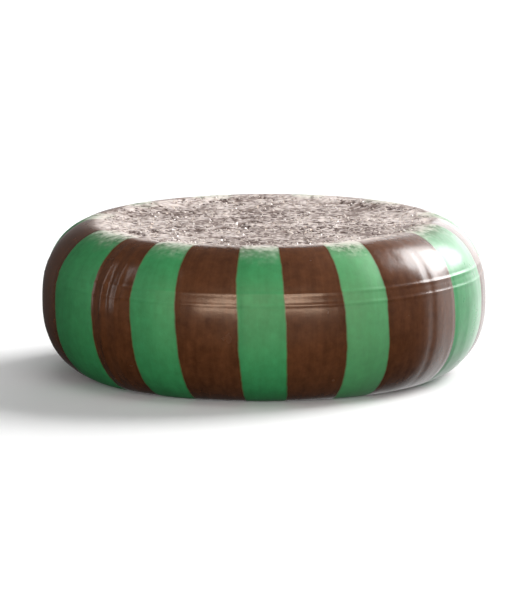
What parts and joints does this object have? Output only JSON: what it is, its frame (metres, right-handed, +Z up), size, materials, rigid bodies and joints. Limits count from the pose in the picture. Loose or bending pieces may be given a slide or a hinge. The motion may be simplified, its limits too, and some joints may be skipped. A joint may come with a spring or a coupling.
{
  "type": "starlight mint",
  "caption": "Round boiled mint sweet with shallow dished faces and coloured stripes over its rounded rim, which lies flat to be unwrapped and eaten.",
  "frame": {"origin": "middle of the sweet's outline, on the surface it lies on", "axes": "+Z up along the sweet's round axis, out of its upper face; -Y is the side shown in front"},
  "size_m": [0.024, 0.024, 0.0084],
  "materials": {
    "candy": "glossy boiled sugar, chocolate brown with mint green stripes over the rim and frosted, finely grained faces"
  },
  "bodies": {
    "root": {"mint": "candy"}
  },
  "joints": []
}
